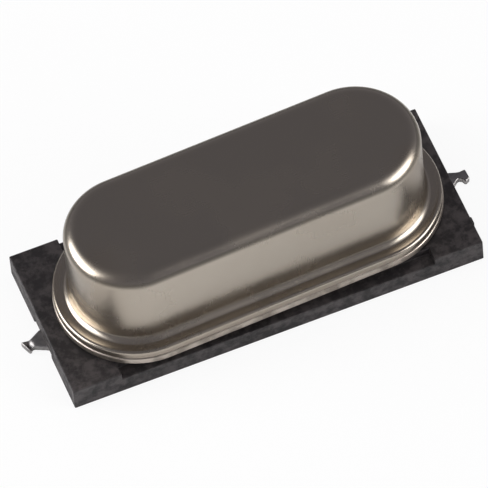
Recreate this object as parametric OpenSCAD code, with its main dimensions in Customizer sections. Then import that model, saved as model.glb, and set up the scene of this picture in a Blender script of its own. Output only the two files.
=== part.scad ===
// Two-lead quartz crystal in a welded metal can, seated on a moulded plate for surface mounting.
// The can's long side lies along X. The board plane is Z = 0, under the middle of the plate.

/* [Insulator plate] */
// Length of the moulded plate
plate_l = 11.74; // [11.2:0.02:12.2]
// Width of the moulded plate
plate_w = 4.74; // [4.5:0.02:5]
// Thickness at the four corner blocks
plate_t = 0.78; // [0.7:0.02:0.9]
// Bevel round the plate's top edge
plate_bevel = 0.03; // [0.02:0.01:0.1]
// Length of the ledge cut into the middle of each long side
ledge_l = 8.96; // [8:0.02:9.4]
// Width of that ledge
ledge_w = 0.4; // [0.2:0.05:0.6]
// Thickness left under the ledge
ledge_t = 0.55; // [0.5:0.05:0.6]
// Length and width of the raised seat that carries the can
seat_l = 7.6; // [6:0.1:8.4]
seat_w = 2.6; // [2:0.1:2.8]
// Height of the seat above the plate
seat_h = 0.09; // [0.05:0.01:0.2]
// Diameter of the clearance hole round each lead
lead_hole_d = 1; // [0.9:0.05:1.1]
// Width of the channels that take the leads under the plate
channel_w = 1.24; // [1.2:0.02:1.5]

/* [Can] */
// Length of the can over its upright wall
can_l = 10.06; // [9.7:0.01:10.3]
// Width of the can over its upright wall
can_w = 3.59; // [3.4:0.01:3.7]
// Height of the can's top above the board
top_z = 4.06; // [3.9:0.02:4.2]
// Thickness of the drawn sheet
sheet_t = 0.2; // [0.15:0.01:0.25]
// Outer radius of the shoulder round the top
shoulder_r = 0.41; // [0.3:0.01:0.6]
// Radius of the hollow where the wall meets the brim
neck_r = 0.27; // [0.2:0.01:0.32]
// How far the flat brim stands out from the wall
brim_out = 0.455; // [0.4:0.005:0.5]
// Radius rolled on the brim's upper edge
brim_r = 0.08; // [0.03:0.01:0.12]

/* [Header] */
// Thickness of the header's flange under the brim
flange_t = 0.24; // [0.15:0.01:0.3]
// How far the header's flange stands out past the brim
flange_out = 0.02; // [0:0.005:0.05]
// Radius on the flange's outer edges
flange_r = 0.05; // [0.02:0.01:0.07]
// Gap between the raised middle and the inside of the can
boss_gap = 0.03; // [0.02:0.01:0.1]
// Height of the raised middle above the flange
boss_h = 0.22; // [0.1:0.01:0.26]
// Diameter of each glass seal
seal_d = 1.3; // [1:0.05:1.5]
// Height of the glass above the header's middle
seal_rise = 0.08; // [0.02:0.01:0.15]

/* [Leads] */
// Spacing of the two leads through the header
lead_pitch = 4.88; // [4.7:0.01:5]
// Diameter of the round wire
lead_d = 0.43; // [0.4:0.01:0.45]
// Centre-line radius of the bend under the can
bend_r = 0.4; // [0.35:0.01:0.45]
// Thickness of the flattened part
blade_t = 0.2; // [0.15:0.01:0.25]
// Width of the flattened part
blade_w = 0.7; // [0.6:0.02:0.76]
// Width at the waist just past the plate
waist_w = 0.33; // [0.25:0.01:0.4]
// How far the waist lies to the back of the blade's middle
waist_shift = 0.035; // [0:0.005:0.05]
// Width of the flared tip
tip_w = 0.46; // [0.4:0.01:0.5]
// Distance of each tip's end from the middle of the part
tip_x = 6.48; // [6.4:0.01:6.6]
// Degrees that the left and the right blade swing from the long axis
left_swing = -0.6; // [-2:0.1:2]
right_swing = 2.3; // [0:0.1:3]

/* [Resonator] */
// Length of the quartz strip
blank_l = 7.94; // [7.6:0.02:8.2]
// Height of the quartz strip, which stands on edge
blank_h = 1.72; // [1.5:0.02:1.76]
// Thickness of the quartz strip
blank_t = 0.17; // [0.1:0.01:0.2]
// Length and height of each metal film on the quartz
film_l = 4.4; // [3.6:0.1:4.8]
film_h = 1.3; // [1:0.05:1.4]
// Thickness of the metal film
film_t = 0.01; // [0.01:0.005:0.02]
// Width and thickness of the spring ribbon
ribbon_w = 1.1; // [0.9:0.05:1.2]
ribbon_t = 0.1; // [0.08:0.01:0.12]
// Gap between the quartz and each side of its slot
slot_gap = 0.03; // [0.02:0.005:0.05]
// Radius of the conductive bonding dots
dot_r = 0.3; // [0.2:0.01:0.35]

/* [Seating] */
// Degrees that the can and what it carries stand turned on the plate
unit_turn = 2.2; // [0:0.1:2.5]
// Shift of the can on the plate, along the plate and across it
unit_along = 0.07; // [0:0.01:0.1]
unit_across = -0.055; // [-0.08:0.005:0]

/* [Hidden] */
$fn = 64;
LEFT = -1;
RIGHT = 1;
arc_steps = 6;
over = 0.5; // how far a cutting shape runs past the solid that it cuts

can_straight = can_l - can_w;
seat_z = plate_t + seat_h;
weld_z = seat_z + flange_t;
brim_z = weld_z + sheet_t;
boss_z = weld_z + boss_h;
wire_z = lead_d / 2;
pocket_t = lead_d + 0.05;            // depth of the pocket over the round wire; the channels hug the blades
pocket_x0 = lead_pitch / 2 - lead_hole_d / 2 - 0.08;
pocket_x1 = lead_pitch / 2 + 1.4;
foot_z = boss_z + seal_rise + 0.2;   // underside of the spring's foot, on top of the lead
foot_x0 = lead_pitch / 2 - 0.4;
upright_x = blank_l / 2 - 0.1;       // outer face of the spring's upright
fold_r = 2 * ribbon_t;               // outer radius where foot and upright meet
blank_z = foot_z + ribbon_t + 0.22;
upright_z = blank_z + blank_h * 0.9;
slot_w = blank_t + 2 * slot_gap;
tab_w = 0.4;                         // the film's run out to the end of the quartz
corner_cut = 0.12;                   // the bevel on each corner of the quartz

// points of an arc round centre c, from angle a0 to a1
function arc(c, r, a0, a1) =
    [for (i = [0:arc_steps]) let (a = a0 + (a1 - a0) * i / arc_steps) c + r * [cos(a), sin(a)]];

// distance from the can's middle plane of a point that stands out from the wall by d
function from_middle(d) = can_w / 2 + d;

// one side of the drawn cover: the hollow over its flat brim, the wall and the shoulder
// inset is 0 for the outer skin and the sheet's thickness for the inner one
function skin(inset) = concat(
    arc([from_middle(neck_r), brim_z + neck_r], neck_r + inset, 270, 180),
    arc([from_middle(-shoulder_r), top_z - shoulder_r], shoulder_r - inset, 0, 90));

function reversed(list) = [for (i = [len(list) - 1:-1:0]) list[i]];

// half of the cover's section, from the middle plane outward
function cover_section() = concat(
    [[0, top_z - sheet_t]],
    reversed(skin(sheet_t)),
    [[from_middle(brim_out), weld_z]],
    arc([from_middle(brim_out - brim_r), brim_z - brim_r], brim_r, 0, 90),
    skin(0),
    [[0, top_z]]);

// half of the header's section: the flange with its rounded edge, and the raised middle
function header_section() = let (
    flange = from_middle(brim_out + flange_out) - flange_r,
    boss = from_middle(-sheet_t - boss_gap),
    edge_r = 0.08)
    concat([[0, seat_z]],
           arc([flange, seat_z + flange_r], flange_r, -90, 0),
           arc([flange, weld_z - flange_r], flange_r, 0, 90),
           [[boss, weld_z]],
           arc([boss - edge_r, boss_z - edge_r], edge_r, 0, 90),
           [[0, boss_z]]);

// a half section carried round the can's racetrack outline
module racetrack(section) {
    for (side = [LEFT, RIGHT])
        translate([side * can_straight / 2, 0, 0])
            rotate([0, 0, side == RIGHT ? -90 : 90])
                rotate_extrude(angle = 180)
                    polygon(section);
    translate([-can_straight / 2, 0, 0])
        rotate([90, 0, 90])
            linear_extrude(can_straight)
                for (side = [0, 1])
                    mirror([side, 0])
                        polygon(section);
}

// everything that the header carries stands turned on the plate
module on_plate() {
    translate([unit_along, unit_across, 0])
        rotate([0, 0, unit_turn])
            children();
}

// the outline of the plate's side, of length l, with both upper corners bevelled
module bevelled_side(l) {
    polygon([[-l / 2, 0], [l / 2, 0], [l / 2, plate_t - plate_bevel], [l / 2 - plate_bevel, plate_t],
             [-l / 2 + plate_bevel, plate_t], [-l / 2, plate_t - plate_bevel]]);
}

module plate_block() {
    intersection() {
        translate([0, plate_w / 2, 0])
            rotate([90, 0, 0])
                linear_extrude(plate_w)
                    bevelled_side(plate_l);
        translate([-plate_l / 2, 0, 0])
            rotate([90, 0, 90])
                linear_extrude(plate_l)
                    bevelled_side(plate_w);
    }
}

// the ledges that clear the can's brim along both long sides
module ledge_cuts() {
    for (side = [-1, 1])
        translate([-ledge_l / 2, side * (plate_w / 2 + over / 2) - (ledge_w + over / 2), ledge_t])
            cube([ledge_l, 2 * ledge_w + over, over]);
}

// hole, pocket and channel for one lead
module lead_way(side) {
    rotate([0, 0, side == RIGHT ? 0 : 180]) {
        translate([lead_pitch / 2, 0, -over])
            cylinder(h = seat_z + 2 * over, d = lead_hole_d);
        translate([pocket_x0, -channel_w / 2, -over])
            cube([pocket_x1 - pocket_x0, channel_w, over + pocket_t]);
        translate([pocket_x1 - over, -channel_w / 2, -over])
            cube([plate_l / 2 - pocket_x1 + 2 * over, channel_w, over + blade_t]);
    }
}

module insulator_plate() {
    color([0.2, 0.18, 0.18])
        difference() {
            union() {
                plate_block();
                translate([-seat_l / 2, -seat_w / 2, 0])
                    cube([seat_l, seat_w, seat_z]);
            }
            ledge_cuts();
            lead_way(LEFT);
            lead_way(RIGHT);
        }
}

module cover() {
    color([0.62, 0.59, 0.55])
        on_plate()
            racetrack(cover_section());
}

module header() {
    color([0.55, 0.53, 0.5])
        on_plate()
            difference() {
                racetrack(header_section());
                for (side = [LEFT, RIGHT])
                    translate([side * lead_pitch / 2, 0, seat_z - over])
                        cylinder(h = boss_z - seat_z + 2 * over, d = seal_d);
            }
}

// a glass bead fused round the lead, with a slope up to the wire
module glass_seal(side) {
    color([0.24, 0.36, 0.32])
        on_plate()
            translate([side * lead_pitch / 2, 0, 0])
                rotate_extrude()
                    polygon([[lead_d / 2, seat_z], [seal_d / 2, seat_z], [seal_d / 2, boss_z],
                             [lead_d / 2 + seal_rise, boss_z + seal_rise / 2],
                             [lead_d / 2, boss_z + seal_rise]]);
}

// the flattened part's outline, from the round wire out to the flared tip
// out is the distance of the lead's post from the plate's middle
module blade_outline(side, out) {
    past_plate = plate_l / 2 + 0.02 - out;
    reach = tip_x - out;
    half = [[bend_r + 0.6, blade_w / 2, 0], [past_plate, blade_w / 2, 0],
            [past_plate + 0.3, waist_w / 2, waist_shift], [reach - 0.22, waist_w / 2, waist_shift],
            [reach - 0.16, tip_w / 2, 0], [reach - 0.03, tip_w / 2, 0], [reach, tip_w / 2 - 0.03, 0]];
    polygon(concat([for (p = half) [p.x, side * p.z + p.y]],
                   reversed([for (p = half) [p.x, side * p.z - p.y]])));
}

// one lead: a post through the glass, a bend, and a flat blade that lies on the board
module lead(side, swing) {
    out = lead_pitch / 2 + side * unit_along;
    post_z = wire_z + bend_r;
    color([0.66, 0.64, 0.62])
        translate([side * lead_pitch / 2 * cos(unit_turn) + unit_along,
                   side * lead_pitch / 2 * sin(unit_turn) + unit_across, 0])
            rotate([0, 0, swing + (side == RIGHT ? 0 : 180)]) {
                translate([0, 0, post_z])
                    cylinder(h = foot_z - post_z, d = lead_d);
                translate([bend_r, 0, post_z])
                    rotate([90, 0, 0])
                        rotate([0, 0, 180])
                            rotate_extrude(angle = 90)
                                translate([bend_r, 0])
                                    circle(d = lead_d, $fn = 32);
                translate([bend_r, 0, wire_z])
                    rotate([0, 90, 0])
                        cylinder(h = 0.15, d = lead_d, $fn = 32);
                hull() {
                    translate([bend_r + 0.15, 0, wire_z])
                        rotate([0, 90, 0])
                            cylinder(h = 0.01, d = lead_d, $fn = 32);
                    translate([bend_r + 0.6, -blade_w / 2, 0])
                        cube([0.01, blade_w, blade_t]);
                }
                linear_extrude(blade_t)
                    blade_outline(side, out);
            }
}

// a spring ribbon: its foot is welded on the lead, its slotted upright holds the quartz
module spring_clip(side) {
    color([0.7, 0.68, 0.63])
        on_plate()
            rotate([0, 0, side == RIGHT ? 0 : 180])
                difference() {
                    translate([0, ribbon_w / 2, 0])
                        rotate([90, 0, 0])
                            linear_extrude(ribbon_w)
                                ribbon_side();
                    translate([upright_x - 2 * fold_r, -slot_w / 2, blank_z])
                        cube([3 * fold_r, slot_w, upright_z]);
                }
}

// the ribbon seen edge on, folded up from its foot
module ribbon_side() {
    c = [upright_x - fold_r, foot_z + fold_r];
    polygon(concat([[foot_x0, foot_z]],
                   arc(c, fold_r, 270, 360),
                   [[upright_x, upright_z], [upright_x - ribbon_t, upright_z]],
                   arc(c, fold_r - ribbon_t, 360, 270),
                   [[foot_x0, foot_z + ribbon_t]]));
}

module quartz_blank() {
    x = blank_l / 2;
    cut = corner_cut;
    color([0.85, 0.88, 0.86])
        on_plate()
            translate([0, blank_t / 2, blank_z])
                rotate([90, 0, 0])
                    linear_extrude(blank_t)
                        polygon([[-x + cut, 0], [x - cut, 0], [x, cut], [x, blank_h - cut],
                                 [x - cut, blank_h], [-x + cut, blank_h], [-x, blank_h - cut], [-x, cut]]);
}

// a metal film in the middle of one face, with a tab that runs out to the end at x_side
module electrode(y_side, x_side) {
    color([0.8, 0.8, 0.78])
        on_plate()
            translate([0, y_side * (blank_t + film_t) / 2 + film_t / 2, blank_z + blank_h / 2])
                rotate([90, 0, 0])
                    linear_extrude(film_t) {
                        square([film_l, film_h], center = true);
                        translate([min(0, x_side * blank_l / 2), -tab_w / 2])
                            square([blank_l / 2, tab_w]);
                    }
}

// a dab of conductive paste in the corner between one film's tab and the spring's upright
module bonding_dot(y_side, x_side) {
    face_y = blank_t / 2 + film_t;
    inner_x = upright_x - ribbon_t;
    color([0.6, 0.6, 0.62])
        on_plate()
            intersection() {
                translate([x_side * inner_x, y_side * face_y, blank_z + blank_h / 2])
                    rotate([90, 0, 0])
                        rotate_extrude(angle = 360)
                            intersection() {
                                circle(r = dot_r, $fn = 32);
                                translate([0, -dot_r])
                                    square([dot_r, 2 * dot_r]);
                            }
                translate([x_side * (inner_x - dot_r), y_side * (face_y + dot_r), blank_z + blank_h / 2])
                    cube(2 * dot_r, center = true);
            }
}

insulator_plate();
cover();
header();
glass_seal(LEFT);  // glass_seal_left
glass_seal(RIGHT);  // glass_seal_right
lead(LEFT, left_swing);  // lead_left
lead(RIGHT, right_swing);  // lead_right
spring_clip(LEFT);  // spring_clip_left
spring_clip(RIGHT);  // spring_clip_right
quartz_blank();
electrode(-1, LEFT);  // electrode_front
electrode(1, RIGHT);  // electrode_back
bonding_dot(-1, LEFT);  // bonding_dot_left
bonding_dot(1, RIGHT);  // bonding_dot_right
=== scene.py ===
"""Visual model of a surface-mount quartz crystal in a welded metal can.

Every length is in metres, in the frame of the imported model: X runs along the can's long
side, Z is up, and the board plane is Z = 0. MM, UM and NM turn the makers' units into metres.
Angles are in degrees, but for the turns of the surface patterns, which are in radians.
"""

import logging
import math
from dataclasses import astuple, dataclass, replace
from enum import Enum
from functools import cached_property
from typing import Callable, Iterable, Mapping, Optional, Sequence, Union

import bpy
from mathutils import Matrix, Vector


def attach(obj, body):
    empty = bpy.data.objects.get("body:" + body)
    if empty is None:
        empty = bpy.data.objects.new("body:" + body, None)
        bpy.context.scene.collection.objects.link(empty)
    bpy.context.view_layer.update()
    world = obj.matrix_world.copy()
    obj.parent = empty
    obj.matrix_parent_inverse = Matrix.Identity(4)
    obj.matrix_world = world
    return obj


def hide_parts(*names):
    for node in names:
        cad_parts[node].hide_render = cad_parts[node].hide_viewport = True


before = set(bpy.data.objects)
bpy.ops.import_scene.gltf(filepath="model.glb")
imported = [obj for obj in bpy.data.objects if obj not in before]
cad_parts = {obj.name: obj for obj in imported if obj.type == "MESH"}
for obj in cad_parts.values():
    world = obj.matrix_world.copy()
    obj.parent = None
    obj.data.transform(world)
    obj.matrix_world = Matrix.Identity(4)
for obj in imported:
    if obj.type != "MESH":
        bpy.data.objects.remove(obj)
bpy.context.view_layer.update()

BODY = "root"
MM = 1e-3
UM = 1e-6
NM = 1e-9
LEAD_PITCH = 4.88 * MM
SEAT_TOP = 0.87 * MM
WELD_PLANE = 1.11 * MM
LOG = logging.getLogger("crystal")

Point = tuple[float, float]
Triple = tuple[float, float, float]
Colour = tuple[float, float, float, float]


def rgb(red: float, green: float, blue: float) -> Colour:
    """Gives an opaque linear colour."""
    return (red, green, blue, 1.0)


def between(first: "Operand", second: "Operand", share: "Operand") -> "Operand":
    """Gives the value at a share of the way from the first to the second."""
    return first + (second - first) * share


# --------------------------------------------------------------------------- node trees


def math_pair(operation: str) -> tuple[Callable, Callable]:
    """Makes a two-sided operator and its reflected form from a Math node's operation."""

    def forward(self: "Signal", other: "Operand") -> "Signal":
        """Works on this signal and other."""
        return self.math(operation, self, other)

    def reflected(self: "Signal", other: "Operand") -> "Signal":
        """Works on other and this signal."""
        return self.math(operation, other, self)

    return forward, reflected


class Signal:
    """An output socket of a node tree on which Python's arithmetic adds Math nodes."""

    def __init__(self, graph: "Graph", socket: bpy.types.NodeSocket) -> None:
        """Wraps one output socket of the graph's tree."""
        self.graph = graph
        self.socket = socket

    def math(self, operation: str, *operands: "Operand") -> "Signal":
        """Adds a Math node over the operands and gives its output."""
        return self.graph.node(
            "ShaderNodeMath", {"operation": operation}, dict(enumerate(operands))
        )

    __add__, __radd__ = math_pair("ADD")
    __sub__, __rsub__ = math_pair("SUBTRACT")
    __mul__, __rmul__ = math_pair("MULTIPLY")
    __truediv__, __rtruediv__ = math_pair("DIVIDE")
    __pow__, __rpow__ = math_pair("POWER")

    def __abs__(self) -> "Signal":
        """Drops the sign."""
        return self.math("ABSOLUTE", self)

    def floor(self) -> "Signal":
        """Rounds down to a whole number."""
        return self.math("FLOOR", self)

    def cos(self) -> "Signal":
        """Gives the cosine of an angle in radians."""
        return self.math("COSINE", self)

    def sin(self) -> "Signal":
        """Gives the sine of an angle in radians."""
        return self.math("SINE", self)

    def exp(self) -> "Signal":
        """Raises e to the signal's power."""
        return self.math("EXPONENT", self)

    def at_least(self, low: "Operand") -> "Signal":
        """Raises values below low to low."""
        return self.math("MAXIMUM", self, low)

    def at_most(self, high: "Operand") -> "Signal":
        """Lowers values above high to high."""
        return self.math("MINIMUM", self, high)

    def swing(self, size: float) -> "Signal":
        """Takes a noise's swing about its middle of one half, times a size."""
        return (self - 0.5) * size

    def above(self, level: "Operand") -> "Signal":
        """Gives 1 where the signal is above level and 0 elsewhere."""
        return self.math("GREATER_THAN", self, level)

    def step(self, start: float, end: float, low: float = 0.0, high: float = 1.0) -> "Signal":
        """Eases from one value to another as the signal goes from start to end.

        Args:
            start: the signal at which the result is low.
            end: the signal at which the result is high.
            low: the result before start.
            high: the result after end.

        Returns:
            The eased signal.
        """
        return self.graph.node(
            "ShaderNodeMapRange",
            {"interpolation_type": "SMOOTHSTEP"},
            {"Value": self, "From Min": start, "From Max": end, "To Min": low, "To Max": high},
        )


Operand = Union[Signal, float]
SocketValue = Union[Signal, float, int, bool, str, tuple, Vector, bpy.types.ID]


class Graph:
    """Builds one node tree. Every node comes from node(), and Math nodes from Signal."""

    def __init__(self, tree: bpy.types.NodeTree) -> None:
        """Starts on a tree, which is emptied."""
        self.tree = tree
        tree.nodes.clear()

    def node(
        self,
        kind: str,
        settings: Optional[Mapping[str, object]] = None,
        sockets: Optional[Mapping[Union[str, int], SocketValue]] = None,
        output: Union[str, int] = 0,
    ) -> Signal:
        """Adds a node.

        Args:
            kind: the node's type name.
            settings: the node's own properties, set first.
            sockets: the values or links of its inputs, by name or number.
            output: the output that the result stands for.

        Returns:
            The chosen output as a signal, or the first input of a node that has no output.
        """
        made = self.tree.nodes.new(kind)
        for name, value in (settings or {}).items():
            setattr(made, name, value)
        for key, value in (sockets or {}).items():
            self.feed(made.inputs[key], value)
        return Signal(self, made.outputs[output] if len(made.outputs) else made.inputs[0])

    def feed(self, socket: bpy.types.NodeSocket, value: SocketValue) -> None:
        """Links a signal into an input, or sets the input's own value."""
        if isinstance(value, Signal):
            self.tree.links.new(value.socket, socket)
        else:
            socket.default_value = value

    def combine(self, x: Operand, y: Operand, z: Operand) -> Signal:
        """Makes a vector of three numbers."""
        return self.node("ShaderNodeCombineXYZ", None, {0: x, 1: y, 2: z})

    def split(self, vector: Signal) -> tuple[Signal, Signal, Signal]:
        """Gives the three numbers of a vector."""
        first = self.node("ShaderNodeSeparateXYZ", None, {0: vector})
        outputs = first.socket.node.outputs
        return first, Signal(self, outputs[1]), Signal(self, outputs[2])


class ShaderGraph(Graph):
    """Builds a material whose patterns follow Object coordinates.

    The Mix node's sockets for colours come after those for numbers and vectors.
    """

    FIRST_COLOUR = 6
    SECOND_COLOUR = 7
    MIXED_COLOUR = 2

    def __init__(self, name: str) -> None:
        """Starts an empty material of that name."""
        self.material = bpy.data.materials.new(name)
        self.material.use_nodes = True
        super().__init__(self.material.node_tree)
        self.place = self.node("ShaderNodeTexCoord", None, None, "Object")

    def noise(
        self, size: float, detail: float = 2.0, place: Optional[Signal] = None,
        roughness: float = 0.5, offset: float = 0.0,
    ) -> Signal:
        """Adds soft noise.

        Args:
            size: the length over which it changes, in metres.
            detail: the number of finer layers.
            place: the coordinates that it reads, or None for the Object ones.
            roughness: how strong the finer layers are.
            offset: a fourth coordinate that sets one noise apart from another.

        Returns:
            The noise, from about 0.3 to 0.7.
        """
        return self.node(
            "ShaderNodeTexNoise",
            {"noise_dimensions": "4D"},
            {
                "Vector": place or self.place,
                "W": offset,
                "Scale": 1.0 / size,
                "Detail": detail,
                "Roughness": roughness,
            },
        )

    def streaks(
        self, sizes: Triple, detail: float = 1.0, roughness: float = 0.5,
        turn: Triple = (0.0, 0.0, 0.0),
    ) -> Signal:
        """Adds soft noise that is drawn out along the axes.

        Args:
            sizes: the length over which it changes along each axis, in metres.
            detail: the number of finer layers.
            roughness: how strong the finer layers are.
            turn: the angles by which it is turned about each axis, in radians.

        Returns:
            The noise, from about 0.3 to 0.7.
        """
        drawn_out = self.node(
            "ShaderNodeMapping",
            None,
            {"Vector": self.place, "Rotation": turn, "Scale": tuple(1.0 / s for s in sizes)},
        )
        return self.noise(1.0, detail, drawn_out, roughness)

    def cells(self, size: float) -> Signal:
        """Adds the distance to scattered points that lie about size apart."""
        return self.node(
            "ShaderNodeTexVoronoi", {"feature": "F1"}, {"Vector": self.place, "Scale": 1.0 / size}
        )

    def blend(self, share: Operand, first: SocketValue, second: SocketValue) -> Signal:
        """Mixes two colours, from the first at 0 to the second at 1."""
        return self.node(
            "ShaderNodeMix",
            {"data_type": "RGBA", "clamp_factor": True},
            {0: share, self.FIRST_COLOUR: first, self.SECOND_COLOUR: second},
            self.MIXED_COLOUR,
        )

    def bump(self, height: Signal) -> Signal:
        """Turns a height in metres into a bent normal."""
        return self.node(
            "ShaderNodeBump", None, {"Strength": 1.0, "Distance": 1.0, "Height": height}
        )

    def principled(self, sockets: Mapping[str, SocketValue]) -> bpy.types.Material:
        """Ends the material in a Principled shader.

        Args:
            sockets: the values or links of the shader's inputs, by name.

        Returns:
            The finished material.
        """
        shader = self.node("ShaderNodeBsdfPrincipled", None, sockets)
        return self.close(shader)

    def close(self, shader: Signal) -> bpy.types.Material:
        """Links a shader to the material's output and gives the material."""
        self.node("ShaderNodeOutputMaterial", None, {"Surface": shader})
        return self.material


class GeometryGraph(Graph):
    """Builds a Geometry Nodes tree with named inputs for its sizes."""

    def __init__(self, name: str) -> None:
        """Starts a tree that takes and gives a geometry."""
        tree = bpy.data.node_groups.new(name, "GeometryNodeTree")
        super().__init__(tree)
        for way in ("INPUT", "OUTPUT"):
            tree.interface.new_socket("Geometry", in_out=way, socket_type="NodeSocketGeometry")
        self.entry = self.node("NodeGroupInput")

    @property
    def source(self) -> Signal:
        """The geometry of the object that carries the tree."""
        return self.entry

    def parameter(self, name: str, kind: str) -> Signal:
        """Adds a named input of the tree, such as a length or a material."""
        self.tree.interface.new_socket(name, in_out="INPUT", socket_type=kind)
        return Signal(self, self.entry.socket.node.outputs[name])

    def close(self, geometry: Signal) -> None:
        """Makes a geometry the tree's result."""
        self.node("NodeGroupOutput", None, {"Geometry": geometry})

    def run(
        self, name: str, source: bpy.types.Mesh, values: Mapping[str, SocketValue]
    ) -> bpy.types.Object:
        """Runs the tree on a mesh and keeps the plain mesh that comes out.

        Args:
            name: the name of the piece.
            source: the mesh that goes in.
            values: the tree's inputs, by name.

        Returns:
            A new object at the origin with no modifier.
        """
        carrier = linked(name + "_source", source)
        modifier = carrier.modifiers.new("shape", "NODES")
        modifier.node_group = self.tree
        identifiers = {
            item.name: item.identifier
            for item in self.tree.interface.items_tree
            if item.item_type == "SOCKET" and item.in_out == "INPUT"
        }
        for key, value in values.items():
            modifier[identifiers[key]] = value
        piece = keep_shape(carrier, name)
        bpy.data.objects.remove(carrier)
        return piece


# ----------------------------------------------------------------------- mesh helpers


def keep_shape(carrier: bpy.types.Object, name: str) -> bpy.types.Object:
    """Makes a plain object of what an object's modifiers give.

    Args:
        carrier: the object with its modifiers; it is left as it is.
        name: the name of the new object and its mesh.

    Returns:
        The new object, linked to the scene.
    """
    graph = bpy.context.evaluated_depsgraph_get()
    graph.update()
    mesh = bpy.data.meshes.new_from_object(
        carrier.evaluated_get(graph), preserve_all_data_layers=True, depsgraph=graph
    )
    mesh.name = name
    return linked(name, mesh)


def mesh_of(
    name: str, points: Iterable[Sequence[float]], faces: Iterable[Sequence[int]] = (),
    edges: Iterable[Sequence[int]] = (),
) -> bpy.types.Mesh:
    """Makes a mesh of points, edges and faces."""
    mesh = bpy.data.meshes.new(name)
    mesh.from_pydata(*([tuple(part) for part in parts] for parts in (points, edges, faces)))
    mesh.update()
    return mesh


def linked(name: str, mesh: bpy.types.Mesh) -> bpy.types.Object:
    """Makes an object of a mesh, linked to the scene."""
    made = bpy.data.objects.new(name, mesh)
    bpy.context.scene.collection.objects.link(made)
    return made


def polyline(name: str, points: Sequence[Point]) -> bpy.types.Mesh:
    """Makes an open line of edges through points given as distance and height."""
    return mesh_of(
        name, [(d, 0.0, z) for d, z in points], (), [(i, i + 1) for i in range(len(points) - 1)]
    )


def arc(centre: Point, radius: float, start: float, end: float, steps: int) -> list[Point]:
    """Gives the points of an arc.

    Args:
        centre: its centre.
        radius: its radius.
        start: the angle of its first point, in degrees.
        end: the angle of its last point, in degrees.
        steps: the number of chords.

    Returns:
        steps + 1 points.
    """
    angles = (math.radians(start + (end - start) * i / steps) for i in range(steps + 1))
    return [(centre[0] + radius * math.cos(a), centre[1] + radius * math.sin(a)) for a in angles]


def bands(rings: int, sides: int) -> list[tuple[int, ...]]:
    """Gives the faces between closed rings of points that are numbered ring after ring.

    Args:
        rings: the number of rings.
        sides: the number of points in each.

    Returns:
        The faces, which face outwards where the rings turn right-handed about their way.
    """
    following = [(i, (i + 1) % sides) for i in range(sides)]
    starts = range(0, (rings - 1) * sides, sides)
    return [(a + i, a + j, a + sides + j, a + sides + i) for a in starts for i, j in following]


def outward(azimuth: float, elevation: float) -> Vector:
    """Gives the direction from the part at two angles in degrees, azimuth 0 being the front."""
    a, e = math.radians(azimuth), math.radians(elevation)
    return Vector((math.sin(a) * math.cos(e), -math.cos(a) * math.cos(e), math.sin(e)))


def smoothed(piece: bpy.types.Object, sharp_above: float) -> None:
    """Shades a piece smooth but for the edges that turn by more than an angle in degrees."""
    piece.data.shade_smooth()
    piece.data.set_sharp_from_angle(angle=math.radians(sharp_above))


def finish_piece(
    piece: bpy.types.Object, stands_for: str,
    material: Optional[bpy.types.Material] = None,
) -> None:
    """Puts a finished piece on the body and in its slot, and logs it.

    Args:
        piece: the piece, in its place.
        stands_for: the CAD node that it stands for.
        material: its material, or None where its mesh already has one.
    """
    if material is not None:
        piece.data.materials.clear()
        piece.data.materials.append(material)
    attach(piece, BODY)
    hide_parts(stands_for)
    piece.data.calc_loop_triangles()
    size = " x ".join(f"{edge / MM:.3f}" for edge in piece.dimensions)
    LOG.info("%s: %s mm, %d triangles", piece.name, size, len(piece.data.loop_triangles))


# ------------------------------------------------------------------------------ finishes


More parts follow.
